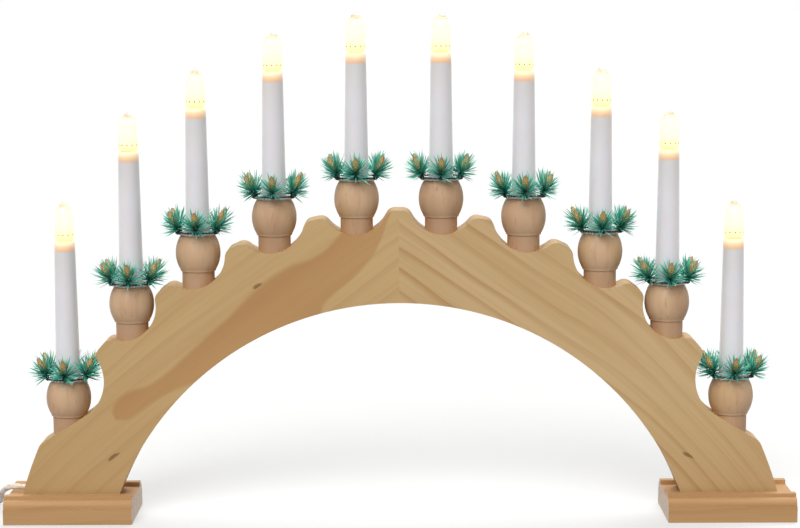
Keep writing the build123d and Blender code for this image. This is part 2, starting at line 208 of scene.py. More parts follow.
needle_lean_span_deg = 74.0
needle_lean_stray_deg = 7.0
needle_turn = 2.39996
needle_turn_stray = 0.25
needle_length_mm = 13.8
needle_length_fall_mm = 2.5
needle_length_stray_mm = (-2.2, 1.0)
needle_tilt_stray = 0.9
needle_curl_mm = (-0.3, 1.2)
cone_start = 3.2 * mm
cone_length = 12.0 * mm
cone_radius = 2.6 * mm
cone_foot_radius = 1.0 * mm
cone_belly_share = 0.36
cone_rows = 9
scales_per_row = 6
cone_fall = 0.85
core_rings = 9
core_sides = 12
core_length_share = 0.97
core_width_share = 0.8
# The core takes the colour near a scale's foot: the painted shade between the scales.
core_tint = 0.1
scale_start = 0.02
scale_span = 0.84
scale_length = 0.2
scale_overlap = 1.15
scale_side_belly = 0.9
scale_shape = ((0.0, 0.75, 0.82), (0.5, 1.0, 0.98), (0.85, 0.6, 1.08), (1.0, 0.0, 1.1))  # height, width, lift

# Wiring in the back groove
groove_radius = 231.0 * mm
wire_radius = 1.6 * mm
wire_y = 2.0 * mm
wire_end_deg = 55.1
wire_low_deg = 70.74
wire_step_deg = 8.0

# Cord, its route and the hank beside the left foot
cord_radius = 2.0 * mm
cord_points = (
    (-247.5, 2.0, 19.2),
    (-258.5, 2.0, 19.2),
    (-270.0, 3.5, 19.9),
    (-278.0, 8.0, 14.6),
    (-279.5, 17.5, 6.5),
    (-284.5, 25.5, 2.4),
    (-293.5, 30.2, 2.05),
    (-304.5, 31.0, 2.05),
    (-315.0, 31.0, 2.05),
)
tail_points = (
    (-316.0, -11.0, 6.55),
    (-306.0, -11.0, 6.55),
    (-297.9, -5.1, 8.8),
    (-294.8, 4.4, 11.1),
    (-297.9, 13.9, 13.3),
    (-306.0, 19.8, 15.6),
    (-316.0, 19.8, 15.6),
)
hank_run = 64.0 * mm
hank_left_x = -384.0 * mm
hank_inner_fold = 14.25 * mm
hank_pitch = 4.5 * mm
hank_folds = 4
fold_sides = 6
tie_x = -377.0 * mm
tie_margin = 2.6 * mm
tie_radius = 0.7 * mm
tie_low = 0.75 * mm
tie_dip = 1.2 * mm

# Floor and world
floor_reach = 60.0
floor_z = -0.2 * mm
floor_white_share = 0.4
world_strength = 0.4

round_sides = 64


def colour(code):
    """Linear colour from an sRGB hex code."""
    parts = [int(code[i : i + 2], 16) / 255 for i in (0, 2, 4)]
    linear = [part / 12.92 if part <= 0.04045 else ((part + 0.055) / 1.055) ** 2.4 for part in parts]
    return (*linear, 1.0)


def around_bow(radius, angle_deg, y=0.0):
    """Point at a radius from the bow's centre and an angle from the crown."""
    angle = math.radians(angle_deg)
    return Vector((radius * math.sin(angle), y, bow_centre_z + radius * math.cos(angle)))


# Camera
camera = bpy.data.objects.new("camera", bpy.data.cameras.new("camera"))
camera.data.lens = camera_lens
camera.data.clip_start = 0.01
camera.matrix_world = (
    Matrix.Translation(camera_place)
    @ Matrix.Rotation(math.radians(camera_yaw_deg), 4, "Z")
    @ Matrix.Rotation(math.radians(90 - camera_pitch_deg), 4, "X")
    @ Matrix.Rotation(math.radians(camera_roll_deg), 4, "Z")
)
bpy.context.collection.objects.link(camera)
bpy.context.scene.camera = camera
bpy.context.scene.view_settings.view_transform = "Standard"


# Node materials
def add(tree, kind, inputs=None, **settings):
    """New node with its settings and inputs, each a value or a socket to link."""
    node = tree.nodes.new(kind)
    for key, value in settings.items():
        setattr(node, key, value)
    for key, value in (inputs or {}).items():
        if isinstance(value, bpy.types.NodeSocket):
            tree.links.new(value, node.inputs[key])
        else:
            node.inputs[key].default_value = value
    return node


def finish(name, **sockets):
    """New material with a Principled shader; sockets are named with underscores."""
    material = bpy.data.materials.new(name)
    material.use_nodes = True
    tree = material.node_tree
    shader = tree.nodes["Principled BSDF"]
    for key, value in sockets.items():
        shader.inputs[key.replace("_", " ")].default_value = value
    return material, tree, shader


def place_of(tree, scale=(1, 1, 1), turn_deg=(0, 0, 0), shift=(0, 0, 0), source=None):
    """The object's own coordinates, or another place, moved, turned and scaled."""
    source = source or add(tree, "ShaderNodeTexCoord").outputs["Object"]
    moved = add(tree, "ShaderNodeMapping", {"Vector": source, "Location": shift}, vector_type="POINT")
    moved.inputs["Rotation"].default_value = [math.radians(turn) for turn in turn_deg]
    return add(tree, "ShaderNodeVectorMath", {0: moved.outputs[0], 1: scale}, operation="MULTIPLY").outputs[0]


def noise(tree, vector, scale=1.0, detail=3.0, distortion=0.0):
    inputs = {"Vector": vector, "Scale": scale, "Detail": detail, "Distortion": distortion}
    return add(tree, "ShaderNodeTexNoise", inputs).outputs[0]


def spread(tree, value, low, high, to_low=0.0, to_high=1.0):
    """Smooth step of a value between two limits."""
    inputs = {"Value": value, "From Min": low, "From Max": high, "To Min": to_low, "To Max": to_high}
    return add(tree, "ShaderNodeMapRange", inputs, interpolation_type="SMOOTHSTEP").outputs[0]


def axes_of(tree, vector):
    """The three parts of a vector."""
    return add(tree, "ShaderNodeSeparateXYZ", {0: vector}).outputs


def length_of(tree, vector):
    return add(tree, "ShaderNodeVectorMath", {0: vector}, operation="LENGTH").outputs["Value"]


def calc(tree, operation, first, second=0.0):
    return add(tree, "ShaderNodeMath", {0: first, 1: second}, operation=operation).outputs[0]


def blend(tree, share, first, second):
    """Mix of two colours."""
    return add(tree, "ShaderNodeMix", {0: share, 6: first, 7: second}, data_type="RGBA").outputs[2]


def ramp(tree, value, *stops):
    """Colours along a value."""
    node = add(tree, "ShaderNodeValToRGB", {"Fac": value})
    elements = node.color_ramp.elements
    while len(elements) < len(stops):
        elements.new(0.5)
    for element, (position, code) in zip(elements, stops):
        element.position = position
        element.color = colour(code)
    return node.outputs[0]


def curve(tree, value, points):
    """Smooth curve through points between 0 and 1."""
    node = add(tree, "ShaderNodeFloatCurve", {"Value": value})
    line = node.mapping.curves[0]
    for place in points[1:-1]:
        line.points.new(*place)
    line.points[0].location = points[0]
    line.points[-1].location = points[-1]
    node.mapping.update()
    return node.outputs[0]


def bump(tree, shader, height, strength, distance):
    inputs = {"Height": height, "Strength": strength, "Distance": distance}
    tree.links.new(add(tree, "ShaderNodeBump", inputs).outputs[0], shader.inputs["Normal"])


def paint(tree, shader, colour_socket, roughness_socket=None):
    tree.links.new(colour_socket, shader.inputs["Base Color"])
    if roughness_socket:
        tree.links.new(roughness_socket, shader.inputs["Roughness"])


def pine(name, light, dark, grain_deg, bend, lines, knots, heart=None, lit_end_tone=None):
    """Planed pine with growth lines along a direction in the board's face, which bends towards the foot."""
    material, tree, shader = finish(name, Specular_IOR_Level=0.3)
    axes = axes_of(tree, place_of(tree))
    past = calc(tree, "SUBTRACT", calc(tree, "ABSOLUTE", axes[0]), bend_start)
    past = calc(tree, "MAXIMUM", past, 0.0)
    drop = calc(tree, "MULTIPLY", calc(tree, "MULTIPLY", past, past), bend)
    straight = add(tree, "ShaderNodeCombineXYZ", {"X": axes[0], "Y": axes[1]})
    tree.links.new(calc(tree, "ADD", axes[2], drop), straight.inputs["Z"])

    def grain(along, across):
        return place_of(tree, (along, across, across), (0, grain_deg, 0), source=straight.outputs[0])

    rings = add(
        tree,
        "ShaderNodeTexWave",
        {"Vector": grain(0.25, 1.0), "Scale": 24.0, "Distortion": 5.0, "Detail": 1.5, "Detail Scale": 1.2},
        bands_direction="Z",
        wave_profile="SAW",
    ).outputs["Fac"]
    fade = spread(tree, noise(tree, grain(9, 40), 1.0, 1.0), 0.35, 0.65, 0.3, 1.0)
    late = calc(tree, "MULTIPLY", spread(tree, rings, 0.58, 1.0), fade)
    cloud = noise(tree, grain(4, 26), 1.0, 2.0)
    fine = noise(tree, grain(14, 420), 1.0, 3.0)
    tone = blend(tree, calc(tree, "MULTIPLY", late, lines), colour(light), colour(dark))
    tone = blend(tree, spread(tree, cloud, 0.45, 0.7, 0.0, 0.3), tone, colour(dark))
    tone = blend(tree, spread(tree, axes[2], 0.11, 0.01, 0.0, 0.4), tone, colour(dark))
    if heart:
        turn = calc(tree, "ARCTAN2", axes[0], calc(tree, "SUBTRACT", axes[2], bow_centre_z))
        share = calc(tree, "ADD", calc(tree, "MULTIPLY", turn, 180 / math.pi / heart_turn_deg), 1.0)
        out = length_of(tree, place_of(tree, (1, 0, 1), shift=(0, 0, -bow_centre_z)))
        sway = spread(tree, noise(tree, grain(16, 60), 1.0, 2.0), 0.2, 0.8, -0.0012, 0.0012)
        level = calc(tree, "SUBTRACT", calc(tree, "ADD", out, sway), heart_low)
        level = calc(tree, "DIVIDE", level, heart_span)
        upper, lower = (
            curve(tree, share, [heart_spot(turn_deg, radius * mm) for turn_deg, radius in edge])
            for edge in heart
        )
        under = spread(tree, calc(tree, "SUBTRACT", upper, level), -0.02, 0.035)
        over = spread(tree, calc(tree, "SUBTRACT", level, lower), -0.02, 0.035)
        deep = ramp(tree, cloud, (0.35, "b38a5a"), (0.65, "a97d4f"))
        tone = blend(tree, calc(tree, "MULTIPLY", calc(tree, "MULTIPLY", under, over), 0.9), tone, deep)
    tone = blend(tree, spread(tree, fine, 0.42, 0.75, 0.0, 0.22), tone, colour(dark))
    for x, z, knot_deg in knots:
        spot = place_of(tree, (205, 15, 680), (0, knot_deg, 0), turned_back(x, z, knot_deg))
        sway = spread(tree, noise(tree, grain(90, 600)), 0.2, 0.8, -0.35, 0.35)
        edge = calc(tree, "ADD", length_of(tree, spot), sway)
        tone = blend(tree, spread(tree, edge, 1.1, 0.55, 0.0, 0.78), tone, colour("6f4f2a"))
    # Faces along X, the sawn ends: paler end grain, with painted light on them as well.
    if lit_end_tone:
        facing = axes_of(tree, add(tree, "ShaderNodeNewGeometry").outputs["Normal"])[0]
        pores = noise(tree, place_of(tree, (300, 700, 500)), 1.0, 3.0)
        sawn_and_lit = blend(tree, spread(tree, pores, 0.35, 0.65, 0.0, 0.35), colour(lit_end_tone), tone)
        tone = blend(tree, spread(tree, calc(tree, "ABSOLUTE", facing), 0.75, 0.95, 0.0, 0.9), tone, sawn_and_lit)
    paint(tree, shader, tone, spread(tree, fine, 0.3, 0.7, 0.5, 0.62))
    bump(tree, shader, calc(tree, "ADD", fine, late), 0.12, 0.0004)
    return material


def heart_spot(turn_deg, radius):
    """Point of the heartwood's edge in the curve's range of 0 to 1."""
    return 1 + turn_deg / heart_turn_deg, (radius - heart_low) / heart_span


def turned_back(x, z, turn_deg):
    """Shift that brings a point of the board to zero after the turn."""
    point = Matrix.Rotation(math.radians(turn_deg), 3, "Y") @ Vector((x * mm, 0, z * mm))
    return (-point.x, 0, -point.z)


# Distance from the middle where the growth lines begin to bend
bend_start = 120.0 * mm

# Upper and lower edge of the left board's heartwood as angles from the crown and radii
heart_turn_deg = 60.0
heart_low = 200.0 * mm
heart_span = 280.0 * mm - heart_low
heart_upper = [(-60, 222), (-57, 231), (-55.9, 236.5), (-54.4, 238), (-52.3, 236), (-47.6, 226.5)]
heart_upper += [(-41.9, 224.2), (-32.4, 228), (-26.7, 234), (-17.9, 243), (-13.5, 245.5)]
heart_upper += [(-9.6, 255), (-7.2, 265), (0, 279)]
heart_lower = [(-60, 236), (-57, 230), (-55.2, 223), (-49.3, 216.2), (-45.4, 210.7), (-42.3, 206)]
heart_lower += [(-38, 201.5), (-17, 201.5), (-13.5, 211.7), (-8.4, 223.4), (-5.1, 235.5)]
heart_lower += [(-2.8, 250), (-1.6, 263), (0, 279)]

# Knots as places in the board's face and their lean
left_knots = [(-196.0, 44.0, 37.0), (-96.0, 161.8, 31.0)]
left_pine = pine("pine_left", "be9f70", "a98252", 35.0, 1.0, 0.35, left_knots, (heart_upper, heart_lower))
right_knots = [(197.0, 43.6, -29.0)]
right_pine = pine("pine_right", "c2a478", "a67e4d", -34.0, 2.4, 0.75, right_knots)
foot_pine = pine("pine_foot", "bf976b", "a67c4e", 0.0, 0.0, 0.5, [], lit_end_tone="f2dfcd")


def turned_wood():
    """Fine pale wood with short pores, turned on a lathe, with painted shade on the neck under the bead."""
    material, tree, shader = finish("turned_wood", Specular_IOR_Level=0.35)
    own = add(tree, "ShaderNodeVectorMath", {0: place_of(tree)}, operation="ADD")
    tree.links.new(add(tree, "ShaderNodeObjectInfo").outputs["Location"], own.inputs[1])
    cloud = noise(tree, place_of(tree, (38, 38, 20), source=own.outputs[0]), 1.0, 2.0)
    flecks = noise(tree, place_of(tree, (700, 700, 90), source=own.outputs[0]), 1.0, 2.0)
    streaks = noise(tree, place_of(tree, (160, 160, 9), source=own.outputs[0]), 1.0, 3.0)
    tone = ramp(tree, cloud, (0.3, "b59070"), (0.55, "c6a482"), (0.72, "bd996f"))
    height = axes_of(tree, place_of(tree))[2]
    # Painted shade: darker from the bead's lower side down to the neck, where the bead's overhang shades it.
    tone = blend(tree, spread(tree, height, -0.021, -0.028, 0.0, 0.5), tone, colour("a0785a"))
    tone = blend(tree, spread(tree, streaks, 0.5, 0.75, 0.0, 0.45), tone, colour("a87f5c"))
    tone = blend(tree, spread(tree, flecks, 0.62, 0.72, 0.0, 0.35), tone, colour("96704e"))
    paint(tree, shader, tone, spread(tree, flecks, 0.3, 0.7, 0.42, 0.55))
    bump(tree, shader, flecks, 0.1, 0.0002)
    return material


def candle_plastic():
    """White translucent plastic with a painted glow of the lamp's light at its top, in its colour and as
    emission.
    """
    material, tree, shader = finish(
        "candle_plastic",
        Specular_IOR_Level=0.4,
        Subsurface_Weight=0.25,
        Subsurface_Scale=0.004,
        Sheen_Weight=0.9,
    )
    height = axes_of(tree, place_of(tree))[2]
    cloud = noise(tree, place_of(tree, (60, 60, 22)), 1.0, 2.0)
    mottle = noise(tree, place_of(tree), 900.0, 2.0)
    white = ramp(tree, cloud, (0.3, "dbd8dc"), (0.7, "e2e0e3"))
    shade = spread(tree, height, -glow_depth - 0.03, -glow_depth, 0.0, 0.75)
    white = blend(tree, shade, white, colour("d3cfce"))
    # Painted glow: the tube's top is tinted warm and made to emit, standing in for the lamp's light through
    # the plastic.
    glow = spread(tree, height, -glow_depth - 0.0006, -glow_depth + 0.0009)
    deep = spread(tree, height, -glow_depth, 0.0)
    glow_tint = ramp(tree, deep, (0.0, "e2bd9d"), (0.5, "ecd0a6"), (1.0, "f3e4c0"))
    paint(tree, shader, blend(tree, glow, white, glow_tint), spread(tree, mottle, 0.3, 0.7, 0.3, 0.4))
    light = ramp(tree, deep, (0.0, "e8ad84"), (0.45, "f4cd98"), (1.0, "fff0c4"))
    tree.links.new(light, shader.inputs["Emission Color"])
    strength = calc(tree, "MULTIPLY", glow, spread(tree, height, -glow_depth, 0.0, 0.12, 0.42))
    tree.links.new(strength, shader.inputs["Emission Strength"])
    bump(tree, shader, mottle, 0.05, 0.0001)
    return material


def clear_glass(name, tint, roughness, weight, tip_tint=None):
    """Clear glass or plastic with faint ripples, clouded at a drawn-out tip."""
    material, tree, shader = finish(name, Transmission_Weight=weight, IOR=1.45, Base_Color=colour(tint))
    ripple = noise(tree, place_of(tree, (1, 1, 0.6)), 260.0, 1.0)
    if tip_tint:
        height = axes_of(tree, place_of(tree))[2]
        swirl = noise(tree, place_of(tree, (1, 1, 0.5)), 190.0, 1.0, 1.5)
        height = calc(tree, "ADD", height, spread(tree, swirl, 0.3, 0.7, -0.002, 0.002))
        clouded = spread(tree, height, tip_cloud_start, glass_point_end)
        paint(tree, shader, blend(tree, clouded, colour(tint), colour(tip_tint)))
    tree.links.new(spread(tree, ripple, 0.3, 0.7, roughness, 1.6 * roughness), shader.inputs["Roughness"])
    bump(tree, shader, ripple, 0.05, 0.0002)
    return material


def glowing(name):
    """Light of the filament, warmer towards its foot."""
    material, tree, shader = finish(name, Base_Color=colour("fff4dc"), Roughness=0.6, Emission_Strength=1.1)
    height = axes_of(tree, place_of(tree))[2]
    flicker = noise(tree, place_of(tree), 300.0, 2.0)
    shade = calc(tree, "ADD", height, spread(tree, flicker, 0.2, 0.8, -0.0006, 0.0006))
    light = ramp(tree, spread(tree, shade, 0.0, 0.02), (0.0, "ffe9a8"), (0.25, "fff3cf"), (1.0, "fffaea"))
    tree.links.new(light, shader.inputs["Emission Color"])
    return material


def grainy(name, light, dark, scale, low, high, metallic=0.0):
    """Material with two tones in a fine grain, and roughness that follows it."""
    material, tree, shader = finish(name, Metallic=metallic)
    grain = noise(tree, place_of(tree), scale, 4.0)
    wide = noise(tree, place_of(tree), 0.12 * scale, 2.0)
    tone = blend(tree, spread(tree, grain, 0.35, 0.65), colour(light), colour(dark))
    tone = blend(tree, spread(tree, wide, 0.4, 0.7, 0.0, 0.4), tone, colour(dark))
    paint(tree, shader, tone, spread(tree, grain, 0.3, 0.7, low, high))
    bump(tree, shader, grain, 0.2, 0.0001)
    return material


def needle_plastic():
    """Cut foil needles: dark at the foot, pale at the tip, each a little different."""
    material, tree, shader = finish("needle_plastic", Specular_IOR_Level=0.5)
    tint, along, _ = axes_of(tree, add(tree, "ShaderNodeUVMap", uv_map="needle").outputs[0])
    tone = ramp(tree, along, (0.0, "1e7664"), (0.3, "35a98f"), (0.7, "58cdb1"), (1.0, "bff0e2"))
    other = ramp(tree, along, (0.0, "144f45"), (0.5, "278470"), (1.0, "47b297"))
    tone = blend(tree, tint, tone, other)
    grain = noise(tree, place_of(tree), 1500.0, 2.0)
    paint(tree, shader, tone, spread(tree, grain, 0.3, 0.7, 0.32, 0.5))
    bump(tree, shader, grain, 0.1, 0.0001)
    return material


def cone_finish():
    """Gilded brown cone scales with painted shade at each scale's foot, between them, and darker at the tip.
    """
    material, tree, shader = finish("cone_finish", Specular_IOR_Level=0.5, Metallic=0.15)
    along, up, _ = axes_of(tree, add(tree, "ShaderNodeUVMap", uv_map="scale").outputs[0])
    grain = noise(tree, place_of(tree), 1300.0, 3.0)
    # Along each scale: painted shade at its foot, where it sits under the scales around it, up to the pale
    # gilt of its lip.
    tone = ramp(tree, up, (0.0, "7a5a30"), (0.55, "c09a58"), (1.0, "e2c68c"))
    tip = spread(tree, along, 0.55, 1.0, 0.0, 0.75)
    tone = blend(tree, tip, tone, colour("8a6438"))
    tone = blend(tree, spread(tree, grain, 0.45, 0.7, 0.0, 0.4), tone, colour("8d7240"))
    paint(tree, shader, tone, spread(tree, grain, 0.3, 0.7, 0.35, 0.5))
    bump(tree, shader, grain, 0.25, 0.0001)
    return material


def cord_plastic():
    """Whitish see-through cord in which the twisted wires show as specks."""
    gloss = {"Specular_IOR_Level": 0.5, "Coat_Weight": 0.3, "Coat_Roughness": 0.15}
    material, tree, shader = finish("cord_plastic", **gloss)
    specks = noise(tree, place_of(tree), 420.0, 3.0)
    wide = noise(tree, place_of(tree), 130.0, 2.0)
    tone = ramp(tree, wide, (0.3, "d8cbbd"), (0.6, "c8b9a8"))
    tone = blend(tree, spread(tree, specks, 0.56, 0.68, 0.0, 0.7), tone, colour("8a7a6c"))
    tone = blend(tree, spread(tree, specks, 0.42, 0.3, 0.0, 0.8), tone, colour("f0ebe4"))
    paint(tree, shader, tone, spread(tree, specks, 0.3, 0.7, 0.25, 0.4))
    bump(tree, shader, specks, 0.15, 0.0003)
    return material


turned_finish = turned_wood()
tube_finish = candle_plastic()
glass_finish = clear_glass("lamp_glass", "f8eddb", 0.02, 1.0, "c6bab8")
ring_finish = clear_glass("ring_plastic", "eef0ee", 0.22, 0.55)
glow_finish = glowing("filament_light")
bead_finish = grainy("bead_metal", "34322f", "242220", 2000.0, 0.5, 0.7)
cap_finish = grainy("cap_brass", "c9ab62", "a98a45", 900.0, 0.25, 0.42, 1.0)
wire_finish = grainy("dark_wire", "2b332c", "181d19", 1600.0, 0.45, 0.65)
needle_finish = needle_plastic()
gilt_finish = cone_finish()
cord_finish = cord_plastic()
lead_finish = grainy("lead_plastic", "dcd9d2", "c9c5bc", 500.0, 0.35, 0.5)
plug_finish = grainy("plug_plastic", "e2dfd8", "d2cec6", 700.0, 0.32, 0.48)
pin_finish = grainy("pin_nickel", "cfcfd2", "b4b4b8", 1200.0, 0.18, 0.32, 1.0)


# Mesh pieces
def new_mesh(name, verts, faces, sharp_deg=40.0):
    mesh = bpy.data.meshes.new(name)
    mesh.from_pydata([tuple(vert) for vert in verts], [], [list(face) for face in faces])
    work = bmesh.new()
    work.from_mesh(mesh)
    bmesh.ops.recalc_face_normals(work, faces=work.faces)
    work.to_mesh(mesh)
    work.free()
    mesh.shade_smooth()
    mesh.set_sharp_from_angle(angle=math.radians(sharp_deg))
    return mesh


def piece(name, data, material, replaced=(), body="arch", place=(0, 0, 0), turn_deg=0.0):
    """An object of the arch, on its body."""
    obj = bpy.data.objects.new(name, data)
    obj.location = place
    obj.rotation_euler.z = math.radians(turn_deg)
    bpy.context.collection.objects.link(obj)
    if not data.materials:
        data.materials.append(material)
    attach(obj, body)
    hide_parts(*replaced)
    return obj


def lathe(profile, sides=round_sides):
    """Points and faces of a form turned about Z from (radius, height) points."""
    verts, faces, rows = [], [], []
    for radius, z in profile:
        count = sides if radius > 0 else 1
        rows.append([len(verts) + i for i in range(count)])
        for i in range(count):
            turn = 2 * math.pi * i / sides
            verts.append(Vector((radius * math.cos(turn), radius * math.sin(turn), z)))
    for upper, lower in zip(rows, rows[1:]):
        for i in range(sides):
            ring = (upper[i % len(upper)], upper[(i + 1) % len(upper)])
            ring += (lower[(i + 1) % len(lower)], lower[i % len(lower)])
            faces.append(list(dict.fromkeys(ring)))
    return verts, faces


def sweep(points, radius, sides, closed=False):
    """Points and faces of a round tube along a line."""
    verts, faces = [], []
    count = len(points)
    normal = None
    for i, point in enumerate(points):
        before = points[i - 1] if closed or i else point
        after = points[(i + 1) % count] if closed or i + 1 < count else point
        way = (after - before).normalized()
        normal = way.orthogonal() if normal is None else normal - way * normal.dot(way)
        normal.normalize()
        for k in range(sides):
            turn = 2 * math.pi * k / sides
            verts.append(point + radius * (math.cos(turn) * normal + math.sin(turn) * way.cross(normal)))
    for i in range(count if closed else count - 1):
        low, high = i * sides, (i + 1) % count * sides
        faces += [(low + k, low + (k + 1) % sides, high + (k + 1) % sides, high + k) for k in range(sides)]
    if not closed:
        faces += [range(sides), range(len(verts) - sides, len(verts))]
    return verts, faces


def joined(*forms):
    """Points and faces of several forms as one."""
    verts, faces = [], []
    for form_verts, form_faces in forms:
        faces += [[len(verts) + i for i in face] for face in form_faces]
        verts += form_verts
    return verts, faces


def arc(start, middle, end, steps):
    """Points of the arc through three (radius, height) points."""
    (ax, ay), (bx, by), (cx, cy) = start, middle, end
    double = 2 * (ax * (by - cy) + bx * (cy - ay) + cx * (ay - by))
    a2, b2, c2 = ax**2 + ay**2, bx**2 + by**2, cx**2 + cy**2
    x = (a2 * (by - cy) + b2 * (cy - ay) + c2 * (ay - by)) / double
    y = (a2 * (cx - bx) + b2 * (ax - cx) + c2 * (bx - ax)) / double
    radius = math.hypot(ax - x, ay - y)
    first = math.atan2(ay - y, ax - x)
    last = math.atan2(cy - y, cx - x)
    turns = [first + (last - first) * i / steps for i in range(steps + 1)]
    return [(x + radius * math.cos(turn), y + radius * math.sin(turn)) for turn in turns]


def nurbs(name, points, radius):
    """Round cord along one open spline."""
    line = bpy.data.curves.new(name, "CURVE")
    line.dimensions = "3D"
    line.bevel_depth = radius
    line.bevel_resolution = 4
    line.resolution_u = 10
    line.use_fill_caps = True
    spline = line.splines.new("NURBS")
    spline.points.add(len(points) - 1)
    for spot, point in zip(spline.points, points):
        spot.co = (*point, 1.0)
    spline.order_u = 3
    spline.use_endpoint_u = True
    return line


# Cord
def fold_points(start, heading, radius, rise):
    """Points round one half turn of the hank, far enough out for the line to touch it, and one on each run."""
    step = math.pi / fold_sides
    corner = radius / math.cos(step / 2)
    side_length = 2 * radius * math.tan(step / 2)
    points = [start + Vector((-heading * side_length / 2, 0, 0))]
    for side in range(fold_sides):
        turn = step * (side + 0.5)
        out = heading * corner * math.sin(turn)
        along = heading * (radius - corner * math.cos(turn))
        points.append(start + Vector((out, along, rise * turn / math.pi)))
    points.append(start + Vector((-heading * side_length / 2, 2 * heading * radius, rise)))
    return points


lead = [Vector(point) * mm for point in cord_points]
tail = [Vector(point) * mm for point in tail_points]
fold_radii = [hank_inner_fold + fold * hank_pitch / 2 for fold in range(hank_folds)]
climb = (hank_inner_fold - hank_pitch / 2, tail[0].z - lead[-1].z)
level_folds = [(radius, 0.0) for radius in fold_radii]
folds = level_folds[::-1] + [climb] + level_folds
hank = []
spot = Vector((hank_left_x, lead[-1].y, lead[-1].z))
heading = -1
for radius, rise in folds:
    hank += fold_points(spot, heading, radius, rise)
    spot = spot + Vector((-heading * hank_run, 2 * heading * radius, rise))
    heading = -heading
cord_line = nurbs("mains_cord", lead + hank + tail, cord_radius)
cord = piece("mains_cord", cord_line, cord_finish, ("cord", "cord_coil"))

# Tie round the hank
tie_high = tail[0].z + cord_radius + tie_radius
tie_near = tail[0].y - tie_margin
tie_far = lead[-1].y + tie_margin
tie_points = [
    Vector((tie_x, y, z))
    for y, z in (
        (tie_near, tie_low + tie_margin),
        (tie_near + tie_margin / 2, tie_low),
        (tie_far - tie_margin / 2, tie_low),
        (tie_far, tie_low + tie_margin),
        (tie_far, tie_high - tie_margin / 2),
        (tie_far - tie_margin, tie_high),
        ((tie_near + tie_far) / 2, tie_high - tie_dip),
        (tie_near + tie_margin, tie_high),
        (tie_near, tie_high - tie_margin / 2),
    )
]
tie = nurbs("hank_tie", tie_points, tie_radius)
tie.splines[0].use_endpoint_u = False
tie.splines[0].use_cyclic_u = True
hank_tie = piece("hank_tie", tie, wire_finish)


# CAD nodes that stay, with softened edges
def soften(node, material, width=0.0):
    """Give a CAD node its material and, if a width is given, soft edges."""
    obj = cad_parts[node]
    for slot in obj.material_slots:
        slot.material = material
    if width:
        weld = obj.modifiers.new("weld", "WELD")
        weld.merge_threshold = weld_distance
        edge = obj.modifiers.new("edge", "BEVEL")
        edge.width = width
        edge.segments = edge_segments
        edge.limit_method = "ANGLE"
        edge.angle_limit = math.radians(edge_angle_deg)
        edge.use_clamp_overlap = True
        normals = obj.modifiers.new("normals", "WEIGHTED_NORMAL")
        normals.keep_sharp = False


soften("arch_left_board", left_pine, board_edge)
soften("arch_right_board", right_pine, board_edge)
soften("left_foot", foot_pine, foot_edge)
soften("right_foot", foot_pine, foot_edge)
soften("plug", plug_finish, plug_edge)
soften("plug_pins", pin_finish, pin_edge)

# Wiring in the back groove
sweep_deg = wire_end_deg + wire_low_deg
steps = round(sweep_deg / wire_step_deg)
wire_angles = [wire_end_deg - sweep_deg * i / steps for i in range(steps + 1)]
wire_spots = [around_bow(groove_radius, angle_deg, wire_y) for angle_deg in wire_angles] + [lead[0]]
piece("back_wiring", nurbs("back_wiring", wire_spots, wire_radius), lead_finish, ("wiring",))


# Candles
def lowest_of(node, x, reach):
    """Lowest height of a node's pieces near x."""
    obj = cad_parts[node]
    points = [obj.matrix_world @ vertex.co for vertex in obj.data.vertices]
    return min(point.z for point in points if abs(point.x - x) < reach)


end_centre = around_bow(end_scallop_centre_radius, end_scallop_deg)
ledge_fall = math.radians(ledge_fall_deg)
ledge_start = end_centre - end_scallop_radius * Vector((math.sin(ledge_fall), 0, math.cos(ledge_fall)))


def scallop_floor(x, row):
    """Height of the board's edge under a cup, at a distance x from the middle."""
    if row < candles_per_side - 1:
        centre = around_bow(scallop_centre_radius, (row + 0.5) * scallop_pitch_deg)
        return centre.z - math.sqrt(scallop_radius**2 - (x - centre.x) ** 2)
    if x < ledge_start.x:
        return end_centre.z - math.sqrt(end_scallop_radius**2 - (x - end_centre.x) ** 2)
    return ledge_start.z - (x - ledge_start.x) * math.tan(ledge_fall)


def cup_mesh(name, x, top, row):
    """A turned cup, its neck cut to the scallop under it."""
    bead_end = -cup_bead_height + cup_collar_height
    neck_z = -cup_bead_height - cup_neck_start
    profile = [
        (0, -cup_bore_depth),
        (tube_base_radius + cup_bore_gap, -cup_bore_depth),
        (tube_base_radius + cup_bore_gap, -cup_mouth_depth),
        (tube_base_radius + cup_mouth_gap, 0),
        (cup_top_radius - cup_edge, 0),
        (cup_top_radius - 0.3 * cup_edge, -0.25 * cup_edge),
    ]
    profile += arc(
        (cup_top_radius + 0.1 * cup_edge, -cup_edge),
        (cup_bead_radius, -cup_bead_middle),
        (cup_collar_radius, bead_end),
        cup_belly_steps,
    )
    profile += [
        (cup_collar_radius, -cup_bead_height + cup_collar_edge),
        (cup_collar_radius - cup_collar_round, -cup_bead_height),
        (cup_neck_radius + cup_neck_fillet, -cup_bead_height - cup_collar_round),
    ]
    # The neck's last two rows and its middle get their heights below
    profile += [(cup_neck_radius, neck_z)] * 3 + [(0, neck_z)]
    verts, faces = lathe(profile)
    for vert in verts[-round_sides - 1 :]:
        vert.z = scallop_floor(abs(x + vert.x), row) - top
    for vert in verts[-2 * round_sides - 1 : -round_sides - 1]:
        floor = scallop_floor(abs(x + vert.x), row) - top
        vert.z = (floor - cup_bead_height - cup_neck_start) / 2
    return new_mesh(name, verts, faces, cup_sharp_deg)


